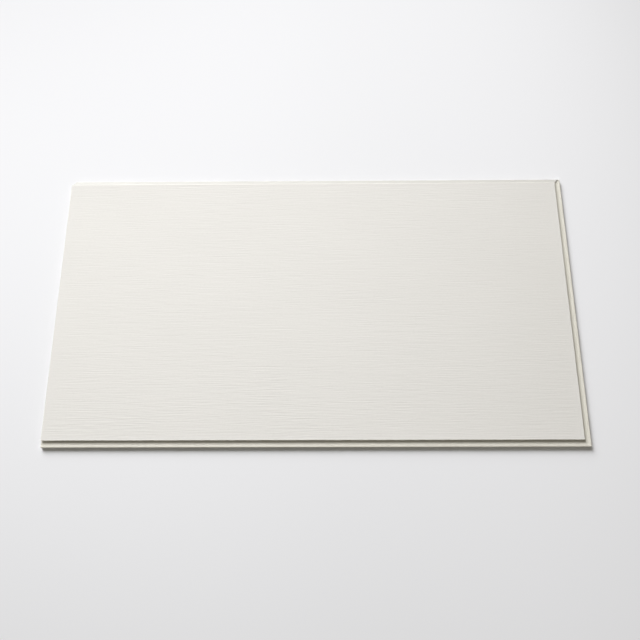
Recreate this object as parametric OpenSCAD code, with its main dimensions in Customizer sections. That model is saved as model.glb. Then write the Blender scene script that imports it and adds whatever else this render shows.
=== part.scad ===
// Rigid PVC wall panel with interlocking edges, lying face up.
// Foamed PVC board: a groove with a locking lip under it on the near long edge, a tongue on the far
// long edge, and a half lap on the short edges.  X runs along the grain, Y across it, Z is up from
// the back.  The origin is the middle of the overall outline, on the back.

/* [Panel] */
// Length of the face, along the grain
face_length = 1220; // [600:10:2440]
// Width of the face, across the grain
face_width = 640; // [300:10:1220]
// Thickness from back to face
thickness = 12; // [11:0.5:20]
// Width of the eased arris round the face
arris = 0.8; // [0.3:0.1:1.5]
// Bevel along the bottom edges of the back
back_bevel = 0.5; // [0.2:0.1:1]

/* [Locking lip] */
// How far the lip stands out beyond the face
lip_width = 15; // [13:0.5:25]
// Height of the lip's channel above the back
channel_height = 7; // [5:0.1:8]
// Width of the channel, from the face edge to the foot of the ridge
channel_width = 8; // [6:0.5:10]
// Rise of the locking ridge above the channel
ridge_rise = 0.4; // [0.2:0.1:1.2]
// Run of the sloped side of the ridge
ridge_slope = 3.4; // [0.8:0.2:3.6]
// Bevel along the outer top edge of the lip
lip_nose = 1; // [0.3:0.1:1.5]

/* [Tongue and groove] */
// Depth of the groove under the face
groove_depth = 10; // [4:0.5:12]
// Height of the groove's mouth
groove_height = 2.4; // [1.8:0.1:3.2]
// Bevel round the nose of the tongue
tongue_nose = 0.3; // [0.2:0.1:0.6]
// How much thinner the tongue is at its tip than at its root
tongue_taper = 0.6; // [0.2:0.1:0.8]

/* [Fit] */
// Clearance above and below what slides in
fit_gap = 0.2; // [0.1:0.05:0.4]
// Clearance at the end of what slides in
end_gap = 0.5; // [0.2:0.1:1]

/* [Hidden] */

over = 1;                                     // how far a cutter runs past what it cuts
ridge_height = channel_height + ridge_rise;
groove_top = channel_height + groove_height;
tongue_reach = groove_depth - end_gap;
tongue_bottom = channel_height + fit_gap;
tongue_top = groove_top - fit_gap;
lap_width = lip_width + end_gap;              // width of the rebate that takes a neighbour's lip
lap_foot = channel_width - end_gap;           // from the face edge to the foot of the rebate's step

x_left = -(face_length + lip_width) / 2;      // the face's own edges
x_right = x_left + face_length;
y_near = (lip_width - face_width - tongue_reach) / 2;
y_far = y_near + face_width;
y_tip = y_far + tongue_reach;
panel_cream = [0.94, 0.93, 0.90];

// A section drawn as [distance, height], swept along X from x0 to x1, with its first axis along Y.
module along_x(x0, x1) {
    translate([x0, 0, 0]) rotate([90, 0, 90]) linear_extrude(height = x1 - x0) children();
}

// The same along Y from y0 to y1, with the section's first axis along X.
module along_y(y0, y1) {
    translate([0, y1, 0]) rotate([90, 0, 0]) linear_extrude(height = y1 - y0) children();
}

// Section across the board between the outer edges lo and hi, bevelled top and bottom.
module board_section(lo, hi, top, top_bevel) {
    polygon([
        [lo + back_bevel, 0], [hi - back_bevel, 0], [hi, back_bevel], [hi, top - top_bevel],
        [hi - top_bevel, top], [lo + top_bevel, top], [lo, top - top_bevel], [lo, back_bevel]
    ]);
}

// Full-thickness board under the face.
module face_board() {
    intersection() {
        along_x(x_left, x_right) board_section(y_near, y_far, thickness, arris);
        along_y(y_near, y_far) board_section(x_left, x_right, thickness, arris);
    }
}

// Space above the lip's channel, up to the slope of the ridge, measured outward from the face edge.
module channel_section(inner) {
    polygon([
        [inner, channel_height], [channel_width, channel_height],
        [channel_width + ridge_slope * (1 + over / ridge_rise), ridge_height + over],
        [inner, ridge_height + over]
    ]);
}

// Lip along the near and right edges in one piece, turning the corner between them.  Its ends are cut
// square: one in line with the left end of the face, the other in line with the tip of the tongue.
module lip() {
    difference() {
        intersection() {
            along_x(x_left, x_right + lip_width)
                board_section(y_near - lip_width, y_tip + 2 * over, ridge_height, lip_nose);
            along_y(y_near - lip_width, y_tip)
                board_section(x_left - 2 * over, x_right + lip_width, ridge_height, lip_nose);
        }
        intersection() {
            translate([0, y_near, 0]) mirror([0, 1, 0])
                along_x(x_left - over, x_right + lip_width + over) channel_section(y_near - y_tip - over);
            translate([x_right, 0, 0])
                along_y(y_near - lip_width - over, y_tip + over) channel_section(-face_length - over);
        }
    }
}

// Groove under the face along the near edge, open at both ends.
module groove() {
    along_x(x_left - over, x_right + over) polygon([
        [y_near - over, channel_height], [y_near + groove_depth, channel_height],
        [y_near + groove_depth, groove_top], [y_near - over, groove_top]
    ]);
}

// Tongue along the far edge.  Both its ends are mitred the same way, so that the right end locks into
// the groove beyond the next joint, and the left end makes room for the tongue of the panel beside it.
module tongue() {
    root = y_far - over;
    tip_top = tongue_top - tongue_taper;
    left = x_left + end_gap;
    intersection() {
        along_x(left, x_right + tongue_reach) polygon([
            [root, tongue_bottom], [y_tip - tongue_nose, tongue_bottom],
            [y_tip, tongue_bottom + tongue_nose], [y_tip, tip_top - tongue_nose],
            [y_tip - tongue_nose, tip_top], [y_far, tongue_top], [root, tongue_top]
        ]);
        translate([0, 0, tongue_bottom - over]) linear_extrude(height = groove_height + 2 * over) polygon([
            [left, root], [x_right, root], [x_right, y_far],
            [x_right + tongue_reach, y_tip], [left + tongue_reach, y_tip], [left, y_far]
        ]);
    }
}

// Web under the tongue's right end, which leaves no gap between it and the lip.
module tongue_web() {
    translate([0, 0, channel_height - over]) linear_extrude(height = over + fit_gap + tongue_nose)
        polygon([[x_right, y_far], [x_right + tongue_reach, y_tip], [x_right, y_tip]]);
}

// Rebate under an edge, where a neighbour's lip lies, measured inward from the face edge and open as
// far as outer.  The step in its roof drops behind the neighbour's ridge.
module lap_section(outer) {
    polygon([
        [outer, -over], [lap_width, -over], [lap_width, ridge_height + fit_gap],
        [lap_foot + ridge_slope, ridge_height + fit_gap], [lap_foot, tongue_bottom], [outer, tongue_bottom]
    ]);
}

// Under the tongue side, as far as the right lip.
module far_lap() {
    translate([0, y_far, 0]) mirror([0, 1, 0])
        along_x(x_left - over, x_right) lap_section(-tongue_reach - over);
}

// Under the left short edge, as far as the near lip.
module left_lap() {
    translate([x_left, 0, 0]) along_y(y_near, y_far) lap_section(-over);
}

module panel() {
    color(panel_cream) difference() {
        union() {
            difference() {
                face_board();
                groove();
            }
            lip();
            tongue();
            tongue_web();
        }
        far_lap();
        left_lap();
    }
}

panel();
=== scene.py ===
"""A rigid PVC wall panel lying face up on a pale studio floor."""

import math

import bmesh
import bpy
import numpy as np
from mathutils import Matrix, Vector


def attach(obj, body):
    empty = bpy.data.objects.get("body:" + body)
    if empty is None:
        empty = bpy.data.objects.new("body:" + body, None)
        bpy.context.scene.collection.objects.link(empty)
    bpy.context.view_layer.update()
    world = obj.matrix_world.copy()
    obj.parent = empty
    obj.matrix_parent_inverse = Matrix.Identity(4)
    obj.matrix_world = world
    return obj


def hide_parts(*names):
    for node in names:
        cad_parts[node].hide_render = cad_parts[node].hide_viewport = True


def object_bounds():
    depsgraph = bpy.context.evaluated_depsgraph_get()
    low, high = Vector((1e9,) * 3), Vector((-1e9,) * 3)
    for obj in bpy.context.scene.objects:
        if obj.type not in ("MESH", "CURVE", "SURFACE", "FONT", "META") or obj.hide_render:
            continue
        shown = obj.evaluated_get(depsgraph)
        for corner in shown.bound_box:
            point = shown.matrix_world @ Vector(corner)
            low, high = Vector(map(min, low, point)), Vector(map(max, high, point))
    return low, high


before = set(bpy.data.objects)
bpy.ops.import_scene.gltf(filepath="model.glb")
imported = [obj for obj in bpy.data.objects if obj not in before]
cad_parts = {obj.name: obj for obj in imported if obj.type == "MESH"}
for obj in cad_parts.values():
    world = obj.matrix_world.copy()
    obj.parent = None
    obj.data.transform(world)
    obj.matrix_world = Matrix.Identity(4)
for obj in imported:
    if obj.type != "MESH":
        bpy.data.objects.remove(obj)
cad_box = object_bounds()

# ---------------------------------------------------------------------------------------------------
# The wall panel.  One board of rigid foamed PVC, with groove, tongue, lips and rebates milled along
# its edges and their sharp corners rubbed down.  The tongue side and the left end, which face the
# lamp,
# are coloured darker than the foam: painted shade that dims them and the light they throw on the
# floor.
# ---------------------------------------------------------------------------------------------------
MM = 0.001
WELD = 0.001 * MM               # corners nearer to each other than this are one corner
FLAT = math.radians(1)          # faces that meet at less than this are one face
RUBBED = 0.12 * MM              # how far the milled corners are rubbed down
RUBBED_STEPS = 2
UPWARD = 0.999                  # a face whose direction rises by this much lies level
EDGE_SHADE_START = 0.5 * MM            # the painted shade starts this far outside the film
CORE, FILM, EDGE_SHADE = range(3)      # the board's two finishes and its painted-shade edge
FOAM_DARK, FOAM_PALE = (0.725, 0.694, 0.618, 1), (0.765, 0.736, 0.661, 1)
EDGE_SHADE_DARK, EDGE_SHADE_PALE = (0.585, 0.568, 0.532, 1), (0.630, 0.613, 0.577, 1)

board = bpy.data.objects.new("wall_panel", bpy.data.meshes.new("wall_panel"))
bpy.context.scene.collection.objects.link(board)

shape = bmesh.new()
shape.from_mesh(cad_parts["panel"].data)
bmesh.ops.remove_doubles(shape, verts=shape.verts, dist=WELD)
bmesh.ops.dissolve_limit(shape, angle_limit=FLAT, verts=shape.verts, edges=shape.edges)
corners = [edge for edge in shape.edges if edge.is_convex and edge.calc_face_angle(0) > FLAT]
bmesh.ops.bevel(
    shape, geom=corners, offset=RUBBED, segments=RUBBED_STEPS, profile=0.5, affect="EDGES"
)

level_faces = [face for face in shape.faces if face.normal.z > UPWARD]
top = max(level_faces, key=lambda face: face.calc_area())
x_low, y_low = (min(vert.co[axis] for vert in top.verts) for axis in (0, 1))
x_high, y_high = (max(vert.co[axis] for vert in top.verts) for axis in (0, 1))
# Painted shade: every face beyond the face's far edge or left end, the tongue and the sides that face
# the lamp, takes the darker edge colour.
for face in shape.faces:
    centre = face.calc_center_median()
    if centre.y > y_high + EDGE_SHADE_START or centre.x < x_low - EDGE_SHADE_START:
        face.material_index = EDGE_SHADE


class Socket:
    """An output in a tree of nodes.  Arithmetic on it adds Math nodes."""

    def __init__(self, tree, output=None):
        self.tree = tree
        self.output = output

    def node(self, kind, settings, inputs, output=0):
        """Adds a node, gives it its settings and then its inputs, and returns one of its outputs."""
        node = self.tree.nodes.new(kind)
        for name, value in settings.items():
            setattr(node, name, value)
        for name, value in inputs.items():
            if isinstance(value, Socket):
                value.feed(node.inputs[name])
            else:
                node.inputs[name].default_value = value
        return Socket(self.tree, node.outputs[output])

    def feed(self, socket):
        """Links this output to an input."""
        self.tree.links.new(self.output, socket)

    def maths(self, operation, first, second):
        return self.node("ShaderNodeMath", {"operation": operation}, {0: first, 1: second})

    def __add__(self, other):
        return self.maths("ADD", self, other)

    def __mul__(self, other):
        return self.maths("MULTIPLY", self, other)

    __radd__ = __add__
    __rmul__ = __mul__

    def between(self, first, second):
        """The colour that lies between two others as this value goes from 0 to 1."""
        factor, a, b, colour = 0, 6, 7, 2       # where a Mix node keeps its colour sockets
        return self.node(
            "ShaderNodeMix", {"data_type": "RGBA"}, {factor: self, a: first, b: second}, colour
        )

    def noise(self, size):
        """Noise from 0 to 1 whose spots have this size in metres along X, Y and Z."""
        scale = [1 / length for length in size]
        stretched = self.node("ShaderNodeVectorMath", {"operation": "MULTIPLY"}, {0: self, 1: scale})
        return self.node("ShaderNodeTexNoise", {}, {"Vector": stretched, "Scale": 1}, "Fac")

    def bumps(self, height):
        """The surface's direction when this value stands up to this height in metres."""
        return self.node("ShaderNodeBump", {}, {"Height": self, "Distance": height})


def new_material(name):
    """A material with a single shader: returns it, the shader's inputs and the place on the object."""
    material = bpy.data.materials.new(name)
    material.use_nodes = True
    place = Socket(material.node_tree).node("ShaderNodeTexCoord", {}, {}, "Object")
    return material, material.node_tree.nodes["Principled BSDF"].inputs, place


core, shader, place = new_material("milled_foam_core")
cells = place.noise([1.2 * MM] * 3)
blotches = place.noise([90 * MM, 30 * MM, 30 * MM])
tone = 0.35 * cells + 0.65 * blotches
tone.between(FOAM_DARK, FOAM_PALE).feed(shader["Base Color"])
(0.6 + 0.2 * cells).feed(shader["Roughness"])
cells.bumps(0.04 * MM).feed(shader["Normal"])
shader["Specular IOR Level"].default_value = 0.25

# Painted shade: the edges that face the lamp are coloured darker than the foam, so that they read
# darker and throw less light onto the floor.
shaded_edge, shader, place = new_material("painted_shade_edge")
edge_mottle = place.noise([40 * MM, 3 * MM, 3 * MM])
edge_mottle.between(EDGE_SHADE_DARK, EDGE_SHADE_PALE).feed(shader["Base Color"])
(0.45 + 0.15 * edge_mottle).feed(shader["Roughness"])

# The panel's face.  A matt film is pressed on the board with a patterned roller while it is hot, so
# the grain is real relief: shallow ribs that run along the panel over broader waves.  The film ends
# where the arris round the face is planed off.
RIB_PITCH = 5.4 * MM
RIB_EVENNESS = 2.6              # the higher, the more alike the gaps between the ribs
RIB_LENGTH = 20 * MM            # how far a rib keeps its height
WAVE_PITCH = 12 * MM
WAVE_EVENNESS = 0.7
WAVE_LENGTH = 12 * MM
GRAIN_DEPTH = 0.205 * MM
GRAIN_SPREAD = 5                # the depth holds this many standard deviations of the relief
GRAIN_RUNOUT = 6 * MM           # the relief fades over this distance from the face's edges
GRAIN_SEED = 11
STEP_ALONG = 10 * MM            # size of the face's small quads, along the grain and across it
STEP_ACROSS = 1 * MM
FILM_DARK, FILM_PALE = (0.683, 0.663, 0.632, 1), (0.807, 0.783, 0.746, 1)

columns = round((x_high - x_low) / STEP_ALONG)
rows = round((y_high - y_low) / STEP_ACROSS)
x_lines = np.linspace(x_low, x_high, columns + 1)
y_lines = np.linspace(y_low, y_high, rows + 1)
rng = np.random.default_rng(GRAIN_SEED)


def ridges(pitch, evenness, length):
    """Height of long ridges that lie about one pitch apart, at each crossing of the face's lines."""
    along = np.abs(np.fft.fftfreq(columns + 1, STEP_ALONG))[:, None]
    across = np.abs(np.fft.fftfreq(rows + 1, STEP_ACROSS))[None, :]
    near_pitch = np.exp(-(evenness * (across * pitch - 1)) ** 2)
    keep = near_pitch / np.sqrt(1 + (2 * np.pi * along * length) ** 2)
    noise = rng.standard_normal((columns + 1, rows + 1))
    height = np.fft.ifft2(np.fft.fft2(noise) * keep).real
    return height / height.std()


def pressed_grain():
    """Depth of the relief at each crossing of the face's lines, in metres."""
    relief = ridges(RIB_PITCH, RIB_EVENNESS, RIB_LENGTH)
    relief += ridges(WAVE_PITCH, WAVE_EVENNESS, WAVE_LENGTH)
    depth = np.clip(0.5 + relief / (GRAIN_SPREAD * relief.std()), 0, 1)
    from_end = np.minimum(x_lines - x_low, x_high - x_lines)[:, None]
    from_side = np.minimum(y_lines - y_low, y_high - y_lines)[None, :]
    runout = np.clip(np.minimum(from_end, from_side) / GRAIN_RUNOUT, 0, 1)
    return GRAIN_DEPTH * depth * runout


def cut(edge, pieces):
    """Cuts an edge into equal pieces."""
    start, end = edge.verts
    for left in range(pieces, 1, -1):
        edge, start = bmesh.utils.edge_split(edge, start, 1 / left)
        edge = next(other for other in start.link_edges if end in other.verts)


for edge in list(top.edges):
    span = edge.verts[0].co - edge.verts[1].co
    cut(edge, columns if abs(span.x) > abs(span.y) else rows)
crossings = {}
for vert in top.verts:
    column = round((vert.co.x - x_low) / (x_high - x_low) * columns)
    row = round((vert.co.y - y_low) / (y_high - y_low) * rows)
    crossings[column, row] = vert
bmesh.ops.delete(shape, geom=[top], context="FACES_ONLY")
height = cad_box[1][2] - pressed_grain()
for column in range(1, columns):
    for row in range(1, rows):
        crossings[column, row] = shape.verts.new((x_lines[column], y_lines[row], height[column, row]))
for column in range(columns):
    for row in range(rows):
        ring = [(column, row), (column + 1, row), (column + 1, row + 1), (column, row + 1)]
        face = shape.faces.new([crossings[crossing] for crossing in ring])
        face.material_index = FILM
        face.smooth = True
shape.to_mesh(board.data)
shape.free()

film, shader, place = new_material("pressed_matt_film")
stripes = place.noise([140 * MM, 2.5 * MM, 2.5 * MM])
threads = place.noise([45 * MM, 0.9 * MM, 0.9 * MM])
flecks = place.noise([6 * MM, 3 * MM, 3 * MM])
clouds = place.noise([260 * MM, 120 * MM, 120 * MM])
tone = 0.15 * stripes + 0.15 * threads + 0.5 * flecks + 0.2 * clouds
tone.between(FILM_DARK, FILM_PALE).feed(shader["Base Color"])
(0.69 + 0.12 * threads).feed(shader["Roughness"])
threads.bumps(0.02 * MM).feed(shader["Normal"])
shader["Specular IOR Level"].default_value = 0.28

for finish in (core, film, shaded_edge):
    board.data.materials.append(finish)
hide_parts("panel")
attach(board, "root")

# ---------------------------------------------------------------------------------------------------
# The floor.  A wide roll of matt white paper whose colour is painted darker to the left of the panel
# and
# lighter to its right: painted shade where the lamp falls strongest.  Far from the panel it fades into
# the white of the room, for the eye but not for the light.
# ---------------------------------------------------------------------------------------------------
FLOOR_SIZE = 30
LIGHTER_FROM, LIGHTER_TO = 0, 0.8       # where the paper's painted shade eases off, along X
FADE_FROM, FADE_TO = 1.5, 2.4           # where it fades, from the middle of the panel
PAPER_SHADED, PAPER_UNSHADED = (0.815, 0.811, 0.829, 1), (0.876, 0.871, 0.892, 1)
WHITE = (1, 1, 1, 1)


def eased(value, start, end):
    """A value that eases from 0 to 1 as another goes from start to end."""
    inputs = {"Value": value, "From Min": start, "From Max": end}
    return value.node("ShaderNodeMapRange", {"interpolation_type": "SMOOTHSTEP"}, inputs)


def seen_by_eye(socket):
    """1 where a surface is seen, straight or in gloss or glass, and 0 where it only gives light."""
    straight = socket.node("ShaderNodeLightPath", {}, {}, "Is Camera Ray")
    in_gloss = socket.node("ShaderNodeLightPath", {}, {}, "Is Glossy Ray")
    in_glass = socket.node("ShaderNodeLightPath", {}, {}, "Is Transmission Ray")
    return straight + in_gloss + in_glass


bpy.ops.mesh.primitive_plane_add(size=FLOOR_SIZE)
floor = bpy.context.object
floor.name = "floor"
paper, shader, place = new_material("floor_paper")
# Painted shade: the paper is darker on the left, where the lamp's light falls strongest, and eases
# lighter to the right.
aside = place.node("ShaderNodeSeparateXYZ", {}, {"Vector": place}, "X")
tone = eased(aside, LIGHTER_FROM, LIGHTER_TO)
tone.between(PAPER_SHADED, PAPER_UNSHADED).feed(shader["Base Color"])
shader["Roughness"].default_value = 1
shader["Specular IOR Level"].default_value = 0

nodes = paper.node_tree.nodes
distance = place.node("ShaderNodeVectorMath", {"operation": "LENGTH"}, {0: place}, "Value")
faded = seen_by_eye(place) * eased(distance, FADE_FROM, FADE_TO)
lit = Socket(place.tree, nodes["Principled BSDF"].outputs["BSDF"])
white = place.node("ShaderNodeEmission", {}, {"Color": WHITE, "Strength": 1})
surface = place.node("ShaderNodeMixShader", {}, {0: faded, 1: lit, 2: white})
surface.feed(nodes["Material Output"].inputs["Surface"])
floor.data.materials.append(paper)

# ---------------------------------------------------------------------------------------------------
# The lamp.  One big softbox, low behind the panel and to its left, which rakes across the face.  Its
# grid keeps the light in a cone, so that it falls off towards the near right corner.
# ---------------------------------------------------------------------------------------------------
LAMP_DISTANCE = 3.75
LAMP_AZIMUTH = math.radians(30)         # to the left of straight back
LAMP_ELEVATION = math.radians(29.5)
LAMP_SIZE = (3.66, 2.29)
LAMP_AIM = Vector((-0.1, -0.2, 0))
LAMP_CONE = math.radians(60)
LAMP_POWER = 58
LAMP_COLOUR = (0.972, 0.985, 1)

lamp = bpy.data.objects.new("softbox", bpy.data.lights.new("softbox", "AREA"))
lamp.data.shape = "RECTANGLE"
lamp.data.size, lamp.data.size_y = LAMP_SIZE
lamp.data.spread = LAMP_CONE
lamp.data.energy = LAMP_POWER
lamp.data.color = LAMP_COLOUR
level = LAMP_DISTANCE * math.cos(LAMP_ELEVATION)
height = LAMP_DISTANCE * math.sin(LAMP_ELEVATION)
lamp.location = (-level * math.sin(LAMP_AZIMUTH), level * math.cos(LAMP_AZIMUTH), height)
lamp.rotation_euler = (lamp.location - LAMP_AIM).to_track_quat("Z", "Y").to_euler()
bpy.context.scene.collection.objects.link(lamp)

# ---------------------------------------------------------------------------------------------------
# The room.  Its walls give the panel a little warm light from all sides, which fills the shadows, and
# the eye sees them as plain white.
# ---------------------------------------------------------------------------------------------------
WALLS = (0.200, 0.193, 0.170, 1)

room = bpy.data.worlds.new("room")
room.use_nodes = True
walls = seen_by_eye(Socket(room.node_tree)).between(WALLS, WHITE)
walls.feed(room.node_tree.nodes["Background"].inputs["Color"])
bpy.context.scene.world = room

# ---------------------------------------------------------------------------------------------------
# The camera.  It stands over the near long edge, and looks steeply down at the panel.
# ---------------------------------------------------------------------------------------------------
CAMERA_PLACE = (0.0243, -0.4585, 1.4386)
CAMERA_PITCH = math.radians(16.485)     # up from straight down
CAMERA_YAW = math.radians(1.789)
CAMERA_ROLL = math.radians(-1.932)
LENS = 35.4
FRAME_WIDTH = 36

camera = bpy.data.objects.new("camera", bpy.data.cameras.new("camera"))
camera.data.lens = LENS
camera.data.sensor_width = FRAME_WIDTH
camera.matrix_world = (
    Matrix.Translation(CAMERA_PLACE)
    @ Matrix.Rotation(CAMERA_YAW, 4, "Z")
    @ Matrix.Rotation(CAMERA_PITCH, 4, "X")
    @ Matrix.Rotation(CAMERA_ROLL, 4, "Z")
)
bpy.context.scene.collection.objects.link(camera)
bpy.context.scene.camera = camera
bpy.context.scene.view_settings.view_transform = "Standard"
